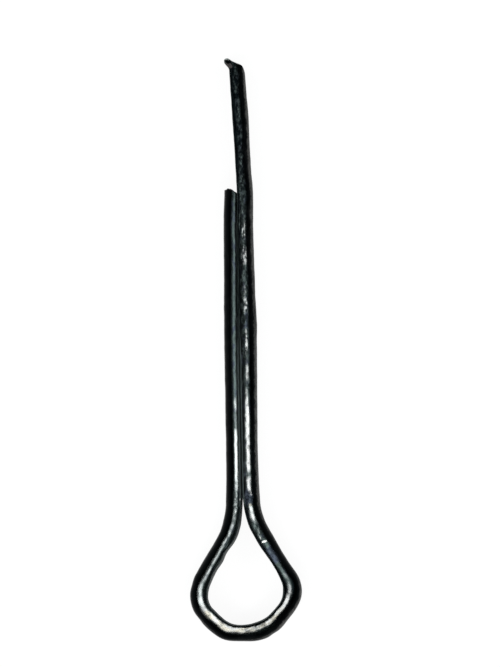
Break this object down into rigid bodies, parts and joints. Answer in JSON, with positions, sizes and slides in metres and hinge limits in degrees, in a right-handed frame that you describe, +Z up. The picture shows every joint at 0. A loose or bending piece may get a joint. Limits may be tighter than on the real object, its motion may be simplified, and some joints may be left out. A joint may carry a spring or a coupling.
{
  "type": "cotter pin",
  "caption": "Split pin of half-round wire folded flat side inwards, with a teardrop eye, a short leg and a long prong.",
  "frame": {"origin": "on the shank's axis, at mid-thickness, where the neck of the eye ends and the two legs make a full round", "axes": "+Y along the closed shank towards the ends of the legs, +Z up out of the plane that the pin lies in, +X towards the long leg's side"},
  "size_m": [0.0122, 0.0653, 0.0036],
  "materials": {
    "steel": "dark, polished drawn steel"
  },
  "bodies": {
    "root": {"cotter_pin": "steel"}
  },
  "joints": []
}
